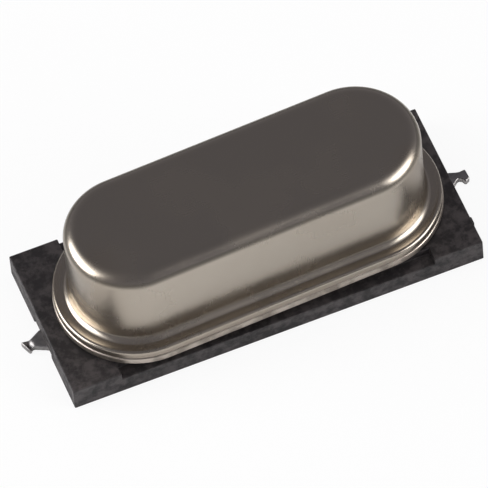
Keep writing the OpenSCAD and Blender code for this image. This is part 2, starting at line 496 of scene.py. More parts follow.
@dataclass(frozen=True)
class DrawnMetal:
    """Nickel-plated sheet with a satin skin from drawing and barrel finishing.

    The top keeps the lines of the rolling mill and the wall those of the drawing die. Stains
    lie toward both ends. Low on the can, over the weld and on the brim, the colour is painted
    warmer and darker: painted shade of the shaded floor and dark plate that the brim mirrors.
    """

    name: str = "satin_drawn_metal"
    clean: Colour = rgb(0.53, 0.475, 0.405)
    warm: Colour = rgb(0.47, 0.4, 0.32)
    # Painted shade: the darker, browner tone laid on the low brim band, and its share.
    burn_and_shade: Colour = rgb(0.42, 0.36, 0.3)
    brim_shade_share: float = 0.8
    dull: float = 0.26
    dull_least: float = 0.05
    dull_clouds: float = 0.05
    dull_lines: float = 0.04
    dull_brim: float = 0.08
    flat_upright: Point = (0.7, 0.95)
    rolled_sizes: Triple = (900 * UM, 14 * UM, 14 * UM)
    drawn_sizes: Triple = (22 * UM, 22 * UM, 1.4 * MM)
    line_layers: float = 3.0
    line_fineness: float = 0.6
    line_height: float = 0.1 * UM
    grain_size: float = 30 * UM
    grain_height: float = 0.25 * UM
    wave_size: float = 1.3 * MM
    wave_height: float = 1.2 * UM
    scratch_sizes: Triple = (700 * UM, 9 * UM, 9 * UM)
    scratch_turn: Triple = (0.2, 0.1, 0.5)
    scratch_edge: Point = (0.66, 0.72)
    scratch_depth: float = 0.25 * UM
    cloud_size: float = 1.9 * MM
    cloud_edge: Point = (0.42, 0.62)
    end_span: Point = (3.4 * MM, 5.0 * MM)
    # Heights of the two low bands that get painted shade, over the weld and on the brim.
    low_shade_span: Point = (1.5 * MM, 1.1 * MM)
    brim_shade_span: Point = (1.3 * MM, 1.22 * MM)
    stain_ends: float = 0.7
    # Share of painted shade in the low band over the weld.
    low_shade_share: float = 0.45
    stain_clouds: float = 0.12

    def material(self) -> bpy.types.Material:
        """Builds the material."""
        g = ShaderGraph(self.name)
        normal = g.node("ShaderNodeTexCoord", None, None, "Normal")
        flat = abs(g.split(normal)[2]).step(*self.flat_upright)
        x, _, z = g.split(g.place)
        rolled, drawn = (
            g.streaks(sizes, self.line_layers, self.line_fineness)
            for sizes in (self.rolled_sizes, self.drawn_sizes)
        )
        lines = rolled * flat + drawn * (1 - flat)
        grain = g.noise(self.grain_size, detail=2.0)
        wave = g.noise(self.wave_size, detail=1.0, offset=3.0)
        scratch = g.streaks(self.scratch_sizes, turn=self.scratch_turn).step(*self.scratch_edge)
        clouds = g.noise(self.cloud_size, detail=3.0, offset=7.0).step(*self.cloud_edge)
        ends = abs(x).step(*self.end_span) * clouds
        # Painted shade: the band from about 1.5 mm down over the weld is made warmer and darker.
        low_shade = z.step(*self.low_shade_span)
        # Painted shade: the brim below about 1.2 mm is darkened toward the shade tone.
        brim_shade = z.step(*self.brim_shade_span)
        # Real stains toward the ends and in clouds, plus painted shade in the low band.
        stain_and_shade = (
            ends * self.stain_ends + low_shade * self.low_shade_share + clouds * self.stain_clouds
        ).at_most(1.0)
        tone = g.blend(stain_and_shade, self.clean, self.warm)
        height = (
            grain.swing(self.grain_height)
            + lines.swing(self.line_height)
            + wave.swing(self.wave_height)
            - scratch * self.scratch_depth
        )
        rough = (
            self.dull
            + clouds.swing(self.dull_clouds)
            + lines.swing(self.dull_lines)
            + brim_shade * self.dull_brim
        )
        return g.principled(
            {
                # The base colour carries the painted shade of the low brim band.
                "Base Color": g.blend(brim_shade * self.brim_shade_share, tone, self.burn_and_shade),
                "Metallic": 1.0,
                "Roughness": rough.at_least(self.dull_least),
                "Normal": g.bump(height),
            }
        )


@dataclass(frozen=True)
class HeaderMetal:
    """The plated header, a little duller and browner round its weld."""

    name: str = "header_metal"
    clean: Colour = rgb(0.62, 0.55, 0.48)
    burn_and_shade: Colour = rgb(0.17, 0.14, 0.115)
    dull: float = 0.34
    dull_clouds: float = 0.12
    cloud_size: float = 0.5 * MM
    cloud_edge: Point = (0.4, 0.65)
    cloud_share: float = 0.6
    pit_size: float = 60 * UM
    pit_edge: Point = (0.25, 0.1)
    pit_share: float = 0.4
    pit_depth: float = 1.5 * UM
    grain_size: float = 25 * UM
    grain_height: float = 0.8 * UM

    def material(self) -> bpy.types.Material:
        """Builds the material."""
        g = ShaderGraph(self.name)
        clouds = g.noise(self.cloud_size, detail=4.0).step(*self.cloud_edge)
        pits = g.cells(self.pit_size).step(*self.pit_edge)
        grain = g.noise(self.grain_size, detail=3.0)
        burn = clouds * self.cloud_share + pits * self.pit_share
        height = grain.swing(self.grain_height) - pits * self.pit_depth
        return g.principled(
            {
                "Base Color": g.blend(burn, self.clean, self.burn_and_shade),
                "Metallic": 1.0,
                "Roughness": self.dull + clouds * self.dull_clouds,
                "Normal": g.bump(height),
            }
        )


@dataclass(frozen=True)
class MouldedPlastic:
    """Black glass-filled plastic with the fine bite of the mould, rubbed pale at its rim."""

    half_length: float
    half_width: float
    name: str = "moulded_plastic"
    dark: Colour = rgb(0.012, 0.010, 0.0105)
    pale: Colour = rgb(0.054, 0.046, 0.046)
    fibre: Colour = rgb(0.13, 0.12, 0.115)
    dull: float = 0.5
    index: float = 1.5
    rub_width: float = 60 * UM
    rub_size: float = 0.4 * MM
    rub_edge: Point = (0.4, 0.6)
    rub_pale: float = 0.5
    flow_sizes: Triple = (1.8 * MM, 0.5 * MM, 0.5 * MM)
    flow_middle: float = 0.35
    flow_pale: float = 1.2
    flow_height: float = 6 * UM
    bite_size: float = 45 * UM
    bite_dull: float = 0.3
    bite_height: float = 7 * UM
    mottle_size: float = 0.3 * MM
    mottle_edge: Point = (0.36, 0.64)
    mottle_middle: float = 0.4
    mottle_pale: float = 0.9
    mottle_dull: float = 0.16
    fibre_sizes: Triple = (160 * UM, 20 * UM, 20 * UM)
    fibre_turn: Triple = (0.0, 0.0, 0.35)
    fibre_edge: Point = (0.68, 0.76)
    fibre_share: float = 0.5
    fibre_dull: float = 0.12

    def material(self) -> bpy.types.Material:
        """Builds the material."""
        g = ShaderGraph(self.name)
        x, y, _ = g.split(g.place)
        flow = g.streaks(self.flow_sizes, detail=3.0, roughness=0.6)
        bite = g.noise(self.bite_size, detail=3.0, roughness=0.65)
        spots = g.noise(self.mottle_size, detail=4.0, offset=9.0, roughness=0.7)
        mottle = spots.step(*self.mottle_edge)
        fibres = g.streaks(self.fibre_sizes, turn=self.fibre_turn).step(*self.fibre_edge)
        edge = self._rim(x, self.half_length).at_least(self._rim(y, self.half_width))
        rub = edge * g.noise(self.rub_size, detail=2.0, offset=5.0).step(*self.rub_edge)
        paleness = (
            (flow - self.flow_middle) * self.flow_pale
            + (mottle - self.mottle_middle) * self.mottle_pale
            + rub * self.rub_pale
        )
        tone = g.blend(paleness, self.dark, self.pale)
        rough = (
            self.dull
            + bite.swing(self.bite_dull)
            - fibres * self.fibre_dull
            - mottle.swing(self.mottle_dull)
        )
        return g.principled(
            {
                "Base Color": g.blend(fibres * self.fibre_share, tone, self.fibre),
                "Roughness": rough,
                "IOR": self.index,
                "Normal": g.bump(bite.swing(self.bite_height) + flow.swing(self.flow_height)),
            }
        )

    def _rim(self, coordinate: Signal, half: float) -> Signal:
        """Gives the narrow band along the two ends of an axis, where handling rubs."""
        return abs(coordinate).step(half - self.rub_width, half)


@dataclass(frozen=True)
class TinnedWire:
    """Dipped solder over a coined wire, soft and a little lumpy."""

    name: str = "tinned_wire"
    bright: Colour = rgb(0.46, 0.44, 0.43)
    grey: Colour = rgb(0.28, 0.27, 0.27)
    grey_share: float = 0.8
    dull: float = 0.34
    dull_clouds: float = 0.14
    cloud_size: float = 0.22 * MM
    cloud_edge: Point = (0.38, 0.66)
    lump_size: float = 90 * UM
    lump_height: float = 5 * UM
    grain_size: float = 18 * UM
    grain_height: float = 0.7 * UM

    def material(self) -> bpy.types.Material:
        """Builds the material."""
        g = ShaderGraph(self.name)
        clouds = g.noise(self.cloud_size, detail=3.0).step(*self.cloud_edge)
        lumps = g.noise(self.lump_size, detail=2.0, offset=2.0)
        grain = g.noise(self.grain_size, detail=3.0)
        height = lumps.swing(self.lump_height) + grain.swing(self.grain_height)
        return g.principled(
            {
                "Base Color": g.blend(clouds * self.grey_share, self.bright, self.grey),
                "Metallic": 1.0,
                "Roughness": self.dull + clouds * self.dull_clouds,
                "Normal": g.bump(height),
            }
        )


@dataclass(frozen=True)
class SealGlass:
    """Pressed glass that is fused to the wire and the header."""

    name: str = "fused_glass"
    deep: Colour = rgb(0.03, 0.05, 0.045)
    milky: Colour = rgb(0.1, 0.13, 0.12)
    dull: float = 0.08
    index: float = 1.5
    coat: float = 0.5
    haze_size: float = 0.2 * MM
    haze_edge: Point = (0.4, 0.65)
    haze_share: float = 0.6
    haze_dull: float = 0.12
    haze_height: float = 2 * UM
    bubble_size: float = 70 * UM
    bubble_edge: Point = (0.16, 0.1)
    bubble_share: float = 0.4
    bubble_depth: float = 3 * UM

    def material(self) -> bpy.types.Material:
        """Builds the material."""
        g = ShaderGraph(self.name)
        haze = g.noise(self.haze_size, detail=3.0).step(*self.haze_edge)
        bubbles = g.cells(self.bubble_size).step(*self.bubble_edge)
        milk = haze * self.haze_share + bubbles * self.bubble_share
        return g.principled(
            {
                "Base Color": g.blend(milk, self.deep, self.milky),
                "Roughness": self.dull + haze * self.haze_dull,
                "IOR": self.index,
                "Coat Weight": self.coat,
                "Normal": g.bump(haze * self.haze_height - bubbles * self.bubble_depth),
            }
        )


@dataclass(frozen=True)
class LappedQuartz:
    """Clear quartz with a finely lapped, slightly frosted face."""

    name: str = "lapped_quartz"
    clear: Colour = rgb(0.9, 0.93, 0.92)
    cloudy: Colour = rgb(0.84, 0.88, 0.87)
    dull: float = 0.22
    index: float = 1.544
    see_through: float = 0.75
    band_size: float = 0.9 * MM
    frost_size: float = 12 * UM
    frost_dull: float = 0.3
    frost_height: float = 0.5 * UM

    def material(self) -> bpy.types.Material:
        """Builds the material."""
        g = ShaderGraph(self.name)
        frost = g.noise(self.frost_size, detail=3.0)
        growth = g.noise(self.band_size, detail=2.0)
        return g.principled(
            {
                "Base Color": g.blend(growth, self.clear, self.cloudy),
                "Roughness": self.dull + frost.swing(self.frost_dull),
                "IOR": self.index,
                "Transmission Weight": self.see_through,
                "Normal": g.bump(frost.swing(self.frost_height)),
            }
        )


@dataclass(frozen=True)
class PlainMetal:
    """A small inner metal part with a fine grain, in one or another tone."""

    name: str
    bright: Colour
    shade: Colour
    dull: float
    grain_size: float = 25 * UM
    grain_height: float = 0.6 * UM
    grain_dull: float = 0.15
    cloud_size: float = 0.6 * MM
    cloud_edge: Point = (0.38, 0.64)

    def material(self) -> bpy.types.Material:
        """Builds the material."""
        g = ShaderGraph(self.name)
        clouds = g.noise(self.cloud_size, detail=3.0).step(*self.cloud_edge)
        grain = g.noise(self.grain_size, detail=3.0)
        return g.principled(
            {
                "Base Color": g.blend(clouds, self.bright, self.shade),
                "Metallic": 1.0,
                "Roughness": self.dull + grain.swing(self.grain_dull),
                "Normal": g.bump(grain.swing(self.grain_height)),
            }
        )


@dataclass(frozen=True)
class FloorPaper:
    """Pale paper that shows white to the eye and through glass, and dimmer in gloss.

    In gloss it keeps most of its light near the part and loses it with the distance.
    """

    name: str = "floor_paper"
    white: Colour = rgb(0.8, 0.8, 0.8)
    shade: Colour = rgb(0.79, 0.79, 0.79)
    fibre_size: float = 4 * MM
    level: float = 1.0
    eye_share: float = 0.9
    gloss_near: float = 0.9
    gloss_far: float = 0.2
    gloss_start: float = 3.2 * MM
    gloss_fall: float = 3.2 * MM
    part_half: Point = (5.9 * MM, 2.4 * MM)

    def material(self) -> bpy.types.Material:
        """Builds the material."""
        g = ShaderGraph(self.name)
        tone = g.blend(g.noise(self.fibre_size, detail=3.0), self.white, self.shade)
        paper = g.node("ShaderNodeBsdfDiffuse", None, {"Color": tone})
        x, y, _ = g.split(g.place)
        past_x, past_y = (
            (abs(axis) - half).at_least(0.0) for axis, half in zip((x, y), self.part_half)
        )
        away = ((past_x * past_x + past_y * past_y) ** 0.5 - self.gloss_start).at_least(0.0)
        kept = between(self.gloss_far, self.gloss_near, (away / -self.gloss_fall).exp())
        eye = g.node("ShaderNodeLightPath", None, None, "Is Camera Ray")
        rays = eye.socket.node.outputs
        through = Signal(g, rays["Is Transmission Ray"])
        gloss = Signal(g, rays["Is Glossy Ray"])
        glow_colour = g.blend(gloss, rgb(1, 1, 1), rgb(0, 0, 0))
        glow = g.node("ShaderNodeEmission", None, {"Color": glow_colour, "Strength": self.level})
        share = (eye.at_least(through) * self.eye_share).at_least(gloss * (1 - kept))
        return g.close(g.node("ShaderNodeMixShader", None, {0: share, 1: paper, 2: glow}))


# ------------------------------------------------------------------------- swept shells


@dataclass
class Racetrack:
    """The outline that the can and the header share, and the tree that sweeps along it."""

    half_width: float = 1.795 * MM
    straight: float = 6.47 * MM
    turn: float = 2.2
    along: float = 0.07 * MM
    across: float = -0.055 * MM
    arc_steps: int = 56
    straight_steps: int = 20
    weld: float = 0.2 * UM
    sharp: float = 42.0
    hole_sides: int = 72
    hole_depth: float = 10 * MM

    @cached_property
    def tree(self) -> GeometryGraph:
        """The tree that carries a half section round the outline, built when first used.

        The section's points are numbered from one end to the other, with their distance
        from the middle plane in X. Point i of step k of the grid takes section point i,
        stands out along the outline's normal at step k, and seams and poles are merged.
        """
        g = GeometryGraph("racetrack_sweep")
        arc_steps, straight_steps = (
            g.parameter(name, "NodeSocketInt") for name in ("Arc Steps", "Straight Steps")
        )
        straight, turn, along, across, weld, sharp, hole_pitch, hole_radius = (
            g.parameter(name, "NodeSocketFloat")
            for name in (
                "Straight Length", "Turn", "Shift Along", "Shift Across", "Weld Distance",
                "Sharp Angle", "Hole Pitch", "Hole Radius",
            )
        )
        finish = g.parameter("Finish", "NodeSocketMaterial")

        count = g.node(
            "GeometryNodeAttributeDomainSize", {"component": "MESH"}, {0: g.source}, "Point Count"
        )
        half_steps = arc_steps + straight_steps
        grid = g.node(
            "GeometryNodeMeshGrid",
            None,
            {"Size X": 1.0, "Size Y": 1.0, "Vertices X": half_steps * 2 + 1, "Vertices Y": count},
        )
        index = g.node("GeometryNodeInputIndex")
        station = ((index + 0.5) / count).floor()
        section_index = index - station * count
        half = ((station + 0.5) / half_steps).floor()
        step = station - half * half_steps
        angle = step.at_most(arc_steps) / arc_steps * math.pi - math.pi / 2
        travel = (step - arc_steps).at_least(0.0) / straight_steps
        side = (half * math.pi).cos()

        position = g.node("GeometryNodeInputPosition")
        sampled = g.node(
            "GeometryNodeSampleIndex",
            {"data_type": "FLOAT_VECTOR", "domain": "POINT"},
            {"Geometry": g.source, "Value": position, "Index": section_index},
        )
        distance, _, height = g.split(sampled)
        x = side * (straight * (0.5 - travel) + angle.cos() * distance)
        y = side * (angle.sin() * distance)
        swept = g.node(
            "GeometryNodeSetPosition",
            None,
            {"Geometry": grid, "Position": g.combine(x, y, height)},
        )
        closed = g.node(
            "GeometryNodeMergeByDistance", None, {"Geometry": swept, "Distance": weld}
        )
        drilled = self._drill(g, closed, hole_pitch, hole_radius)
        placed = g.node(
            "GeometryNodeTransform",
            None,
            {
                "Geometry": drilled,
                "Translation": g.combine(along, across, 0.0),
                "Rotation": g.combine(0.0, 0.0, turn),
            },
        )
        smooth = g.node("GeometryNodeSetShadeSmooth", {"domain": "FACE"}, {"Geometry": placed})
        corner = g.node("GeometryNodeInputMeshEdgeAngle", None, None, "Unsigned Angle")
        creased = g.node(
            "GeometryNodeSetShadeSmooth",
            {"domain": "EDGE"},
            {"Geometry": smooth, "Selection": corner.above(sharp), "Shade Smooth": False},
        )
        whole = g.node("GeometryNodeRealizeInstances", None, {"Geometry": creased})
        g.close(g.node("GeometryNodeSetMaterial", None, {"Geometry": whole, "Material": finish}))
        return g

    def _drill(self, g: GeometryGraph, body: Signal, pitch: Signal, radius: Signal) -> Signal:
        """Cuts two round holes through a body where the radius is above zero.

        Args:
            g: the tree.
            body: the geometry to cut.
            pitch: the distance between the holes' axes.
            radius: their radius, or zero for none.

        Returns:
            The body, cut or as it came.
        """
        punch = g.node(
            "GeometryNodeMeshCylinder",
            {"fill_type": "NGON"},
            {"Vertices": self.hole_sides, "Radius": radius, "Depth": self.hole_depth},
            "Mesh",
        )
        spots = g.node(
            "GeometryNodeMeshLine",
            {"mode": "OFFSET"},
            {
                "Count": 2,
                "Start Location": g.combine(pitch * -0.5, 0.0, 0.0),
                "Offset": g.combine(pitch, 0.0, 0.0),
            },
        )
        punches = g.node(
            "GeometryNodeInstanceOnPoints", None, {"Points": spots, "Instance": punch}
        )
        cut = g.node(
            "GeometryNodeMeshBoolean",
            {"operation": "DIFFERENCE"},
            {
                "Mesh 1": body,
                "Mesh 2": g.node("GeometryNodeRealizeInstances", None, {"Geometry": punches}),
            },
            "Mesh",
        )
        return g.node(
            "GeometryNodeSwitch",
            {"input_type": "GEOMETRY"},
            {"Switch": radius.above(0.0), "False": body, "True": cut},
        )

    def sweep(
        self, name: str, section: Sequence[Point], material: bpy.types.Material,
        hole_pitch: float = 0.0, hole_radius: float = 0.0,
    ) -> bpy.types.Object:
        """Sweeps a half section round the outline.

        Args:
            name: the name of the piece.
            section: distance from the middle plane and height of each point, from one end
                of the middle line to the other.
            material: the finish.
            hole_pitch: the distance between two round holes.
            hole_radius: the holes' radius, or zero for none.

        Returns:
            The closed piece.
        """
        return self.tree.run(
            name,
            polyline(name + "_section", section),
            {
                "Straight Length": self.straight,
                "Arc Steps": self.arc_steps,
                "Straight Steps": self.straight_steps,
                "Turn": math.radians(self.turn),
                "Shift Along": self.along,
                "Shift Across": self.across,
                "Weld Distance": self.weld,
                "Sharp Angle": math.radians(self.sharp),
                "Hole Pitch": hole_pitch,
                "Hole Radius": hole_radius,
                "Finish": material,
            },
        )


@dataclass
class Cover:
    """The drawn can, with its flat brim, the hollow over it, the wall and the shoulder."""

    outline: Racetrack
    top: float = 4.06 * MM
    sheet: float = 0.2 * MM
    shoulder: float = 0.41 * MM
    neck: float = 0.27 * MM
    neck_sweep: float = 66.0
    neck_foot: float = 1.325 * MM
    brim_out: float = 0.455 * MM
    brim_rise: float = 14.0
    brim_bottom: float = WELD_PLANE
    brim_roll: float = 0.08 * MM
    burr: float = 0.02 * MM
    hold: float = 0.03 * MM
    steps: int = 14
    roll_steps: int = 12
    burr_steps: int = 4

    def _skin(self, inset: float) -> list[Point]:
        """Gives one side of the drawn part, from the neck's foot up to the shoulder's top.

        Args:
            inset: 0 for the outer skin, and the sheet's thickness for the inner one.

        Returns:
            The points, upward.
        """
        w = self.outline.half_width
        neck_z = self.neck_foot + self.neck * math.sin(math.radians(self.neck_sweep))
        neck = arc(
            (w + self.neck, neck_z), self.neck + inset, 180 + self.neck_sweep, 180, self.steps
        )
        shoulder = arc(
            (w - self.shoulder, self.top - self.shoulder), self.shoulder - inset, 0, 90,
            self.steps * 2,
        )
        wall_low = (w - inset, neck_z + self.hold)
        wall_high = (w - inset, self.top - self.shoulder - self.hold)
        flat = (w - self.shoulder - self.hold, self.top - inset)
        return neck + [wall_low, wall_high] + shoulder + [flat]

    def section(self) -> list[Point]:
        """Gives the half section, from the inner middle line round to the outer one."""
        edge = self.outline.half_width + self.brim_out
        outer = self._skin(0.0)
        foot_x, foot_z = outer[0]
        lean = math.radians(90 + self.brim_rise)
        roll_x = edge - self.brim_roll
        touch_x = roll_x + self.brim_roll * math.cos(lean)
        touch_z = foot_z + (touch_x - foot_x) * math.tan(math.radians(self.brim_rise))
        roll = (roll_x, touch_z - self.brim_roll * math.sin(lean))
        upper_roll = arc(roll, self.brim_roll, 0, 90 + self.brim_rise, self.roll_steps)
        burr = (edge - self.burr, self.brim_bottom + self.burr)
        lower_roll = arc(burr, self.burr, -90, 0, self.burr_steps)
        inner = list(reversed(self._skin(self.sheet)))
        heel = (inner[-1][0], self.brim_bottom)
        return (
            [(0.0, self.top - self.sheet)] + inner + [heel]
            + lower_roll + upper_roll + outer + [(0.0, self.top)]
        )

    def build(self) -> bpy.types.Object:
        """Builds and places the cover."""
        piece = self.outline.sweep("can_cover", self.section(), DrawnMetal().material())
        finish_piece(piece, "cover")
        return piece


@dataclass
class Header:
    """The plate that closes the can: a welded flange and a raised middle with two holes."""

    outline: Racetrack
    flange_out: float = 0.475 * MM
    boss_in: float = 0.23 * MM
    seat: float = SEAT_TOP
    weld: float = WELD_PLANE
    boss_top: float = 1.33 * MM
    edge: float = 0.08 * MM
    flange_edge: float = 0.05 * MM
    hold: float = 0.02 * MM
    seal_radius: float = 0.65 * MM
    flange_steps: int = 6
    edge_steps: int = 8

    def section(self) -> list[Point]:
        """Gives the half section, from the seat's middle round to the raised middle's."""
        flange = self.outline.half_width + self.flange_out
        boss = self.outline.half_width - self.boss_in
        r, e = self.flange_edge, self.edge
        hold = flange - r - self.hold
        return (
            [(0.0, self.seat), (hold, self.seat)]
            + arc((flange - r, self.seat + r), r, -90, 0, self.flange_steps)
            + arc((flange - r, self.weld - r), r, 0, 90, self.flange_steps)
            + [(hold, self.weld), (boss, self.weld)]
            + arc((boss - e, self.boss_top - e), e, 0, 90, self.edge_steps)
            + [(0.0, self.boss_top)]
        )

    def build(self) -> bpy.types.Object:
        """Builds and places the header."""
        piece = self.outline.sweep(
            "header_base", self.section(), HeaderMetal().material(),
            LEAD_PITCH, self.seal_radius,
        )
        finish_piece(piece, "header")
        return piece


# ------------------------------------------------------------------------ moulded plate


@dataclass(frozen=True)
class Terrace:
    """A piece of the plate's plan with a flat underside and a flat top."""

    plan: tuple[Point, ...]
    low: float
    high: float


class TerracedSolid:
    """Joins terraces that share whole edges into one closed solid."""

    def __init__(self, terraces: Sequence[Terrace]) -> None:
        """Takes terraces whose plans run anticlockwise."""
        self.terraces = terraces
        self._index: dict[tuple[int, int, int], int] = {}
        self._points: list[tuple[float, float, float]] = []
        self._faces: list[list[int]] = []
        self._levels: dict[tuple[int, int], set[float]] = {}
        self._sides: dict[tuple, Terrace] = {}

    @staticmethod
    def _spot(point: Point) -> tuple[int, int]:
        """Gives whole numbers that stand for a point of the plan, to a nanometre."""
        return round(point[0] / NM), round(point[1] / NM)

    def _vertex(self, point: Point, height: float) -> int:
        """Gives the number of the vertex at a point of the plan and a height."""
        key = (*self._spot(point), round(height / NM))
        if key not in self._index:
            self._index[key] = len(self._points)
            self._points.append((point[0], point[1], height))
        return self._index[key]

    def _wall(self, p: Point, q: Point, low: float, high: float) -> None:
        """Adds an upright face on the right of the edge from p to q.

        Args:
            p: the edge's start.
            q: the edge's end.
            low: the face's lower height.
            high: its upper height.
        """
        if high - low < NM:
            return
        at_p, at_q = (
            sorted(z for z in self._levels[self._spot(end)] if low + NM < z < high - NM)
            for end in (p, q)
        )
        loop = [self._vertex(p, low)]
        loop += [self._vertex(q, z) for z in (low, *at_q, high)]
        loop += [self._vertex(p, z) for z in (high, *reversed(at_p))]
        self._faces.append(loop)

    def mesh(self, name: str) -> bpy.types.Mesh:
        """Builds the solid's mesh."""
        for terrace in self.terraces:
            for i, point in enumerate(terrace.plan):
                level = self._levels.setdefault(self._spot(point), set())
                level.update((terrace.low, terrace.high))
                following = terrace.plan[(i + 1) % len(terrace.plan)]
                self._sides[self._spot(point), self._spot(following)] = terrace
        for terrace in self.terraces:
            self._faces.append([self._vertex(p, terrace.high) for p in terrace.plan])
            self._faces.append([self._vertex(p, terrace.low) for p in reversed(terrace.plan)])
            for i, p in enumerate(terrace.plan):
                self._side(terrace, p, terrace.plan[(i + 1) % len(terrace.plan)])
        return mesh_of(name, self._points, self._faces)

    def _side(self, terrace: Terrace, p: Point, q: Point) -> None:
        """Adds what a terrace shows of its side from p to q beside its neighbour."""
        other = self._sides.get((self._spot(q), self._spot(p)))
        if other is None:
            self._wall(p, q, terrace.low, terrace.high)
            return
        self._wall(p, q, max(other.high, terrace.low), terrace.high)
        self._wall(p, q, terrace.low, min(other.low, terrace.high))


@dataclass
class InsulatorPlate:
    """The moulded plate: corner blocks, side ledges, a seat, and a way out for each lead."""

    half_length: float = 5.87 * MM
    half_width: float = 2.37 * MM
    block: float = 0.78 * MM
    ledge_end: float = 4.48 * MM
    ledge_in: float = 1.97 * MM
    ledge: float = 0.55 * MM
    seat_length: float = 3.8 * MM
    seat_width: float = 1.3 * MM
    seat: float = SEAT_TOP
    pocket_start: float = 1.86 * MM
    pocket_end: float = 3.84 * MM
    pocket: float = 0.48 * MM
    channel: float = 0.2 * MM
    channel_width: float = 0.62 * MM
    hole_x: float = LEAD_PITCH / 2
    hole_radius: float = 0.5 * MM
    hole_end: float = 3.02 * MM
    mark_x: Point = (4.48 * MM, 5.28 * MM)
    mark_y: Point = (1.0 * MM, 1.8 * MM)
    mark_radius: float = 0.34 * MM
    mark_depth: float = 0.03 * MM
    gate: Point = (-1.64 * MM, -1.4 * MM)
    gate_out: float = 0.06 * MM
    gate_heights: Point = (0.24 * MM, 0.66 * MM)
    edge_round: float = 0.03 * MM
    edge_segments: int = 3
    edge_angle: float = 30.0
    quarter_steps: int = 12

    def _heights(self, x: float, y: float) -> tuple[float, float]:
        """Gives the plate's underside and top at a point of the plan."""
        x, y = abs(x), abs(y)
        high = self.block
        if x < self.ledge_end and y > self.ledge_in:
            high = self.ledge
        if x < self.seat_length and y < self.seat_width:
            high = self.seat
        low = 0.0
        if y < self.channel_width and x > self.pocket_start:
            low = self.pocket if x < self.pocket_end else self.channel
        return low, high

    def _ring(
        self, box: tuple[float, float, float, float], centre: Point, radius: float,
        low: float, high: float, cuts: Sequence[float] = (),
    ) -> list[Terrace]:
        """Fills a rectangle round a circle with four terraces.

        Args:
            box: the rectangle's lowest x and y, and its highest x and y.
            centre: the circle's centre.
            radius: the circle's radius.
            low: the terraces' underside.
            high: the terraces' top.
            cuts: the y of each line of the plan that meets the rectangle's upright sides.

        Returns:
            The terraces.
        """
        x0, y0, x1, y1 = box
        corners = [(x1, y0), (x1, y1), (x0, y1), (x0, y0)]
        made = []
        for quarter in range(4):
            start = quarter * 90 - 45
            inner = arc(centre, radius, start + 90, start, self.quarter_steps)
            first, last = corners[quarter], corners[(quarter + 1) % 4]
            met = sorted((y for y in cuts if y0 < y < y1), reverse=first[1] > last[1])
            upright = [(first[0], y) for y in met] if first[0] == last[0] else []
            made.append(Terrace((first, *upright, last, *inner), low, high))
        return made

    def _lines(self, *marks: float) -> list[float]:
        """Gives the sorted lines of the plan at the marks, on both sides of the middle."""
        return sorted({side * mark for mark in marks for side in (-1, 1)})

    def terraces(self) -> list[Terrace]:
        """Divides the plate's plan into terraces."""
        xs = self._lines(
            self.half_length, *self.mark_x, self.ledge_end, self.pocket_end, self.seat_length,
            self.hole_end, self.pocket_start,
        )
        ys = self._lines(
            self.half_width, self.ledge_in, self.seat_width, self.channel_width, *self.mark_y,
        )
        ys = sorted({*ys, *self.gate})
        found = []
        for x0, x1 in zip(xs, xs[1:]):
            for y0, y1 in zip(ys, ys[1:]):
                found += self._cell(x0, y0, x1, y1)
        for quadrant_x in (-1, 1):
            for quadrant_y in (-1, 1):
                found += self._pin_mark(quadrant_x, quadrant_y)
            found += self._lead_hole(quadrant_x)
        found.append(self._gate_stub())
        return found

    def _cell(self, x0: float, y0: float, x1: float, y1: float) -> list[Terrace]:
        """Makes the terrace of one rectangle of the plan, unless a ring fills it."""
        cx, cy = abs(x0 + x1) / 2, abs(y0 + y1) / 2
        in_hole = self.pocket_start < cx < self.hole_end and cy < self.channel_width
        in_mark = self.mark_x[0] < cx < self.mark_x[1] and self.mark_y[0] < cy < self.mark_y[1]
        if in_hole or in_mark:
            return []
        low, high = self._heights(cx, cy)
        return [Terrace(((x0, y0), (x1, y0), (x1, y1), (x0, y1)), low, high)]

    def _lead_hole(self, side: int) -> list[Terrace]:
        """Makes the terraces round the hole for one lead."""
        x0, x1 = sorted((side * self.pocket_start, side * self.hole_end))
        box = (x0, -self.channel_width, x1, self.channel_width)
        centre = (side * self.hole_x, 0.0)
        return self._ring(box, centre, self.hole_radius, self.pocket, self.seat)

    def _pin_mark(self, side_x: int, side_y: int) -> list[Terrace]:
        """Makes the terraces round and in one shallow round mark of the mould's pins."""
        x0, x1 = sorted(side_x * x for x in self.mark_x)
        y0, y1 = sorted(side_y * y for y in self.mark_y)
        centre = ((x0 + x1) / 2, (y0 + y1) / 2)
        cuts = (*self.gate, self.seat_width, -self.seat_width)
        rim = self._ring((x0, y0, x1, y1), centre, self.mark_radius, 0.0, self.block, cuts)
        disc = arc(centre, self.mark_radius, -45, 315, 4 * self.quarter_steps)[:-1]
        return rim + [Terrace(tuple(disc), self.mark_depth, self.block)]

    def _gate_stub(self) -> Terrace:
        """Makes the stub that the mould's gate left on the right end."""
        x0, x1 = self.half_length, self.half_length + self.gate_out
        y0, y1 = self.gate
        low, high = self.gate_heights
        return Terrace(((x0, y0), (x1, y0), (x1, y1), (x0, y1)), low, high)

    def build(self) -> bpy.types.Object:
        """Builds, rounds and places the plate."""
        mesh = TerracedSolid(self.terraces()).mesh("plate_blank")
        mesh.shade_smooth()
        carrier = linked("plate_blank", mesh)
        rounding = carrier.modifiers.new("edges", "BEVEL")
        rounding.limit_method = "ANGLE"
        rounding.angle_limit = math.radians(self.edge_angle)
        rounding.width = self.edge_round
        rounding.segments = self.edge_segments
        rounding.use_clamp_overlap = False
        rounding.harden_normals = True
        piece = keep_shape(carrier, "moulded_plate")
        bpy.data.objects.remove(carrier)
        plastic = MouldedPlastic(self.half_length, self.half_width).material()
        finish_piece(piece, "insulator_plate", plastic)
        return piece


# --------------------------------------------------------------------------------- leads


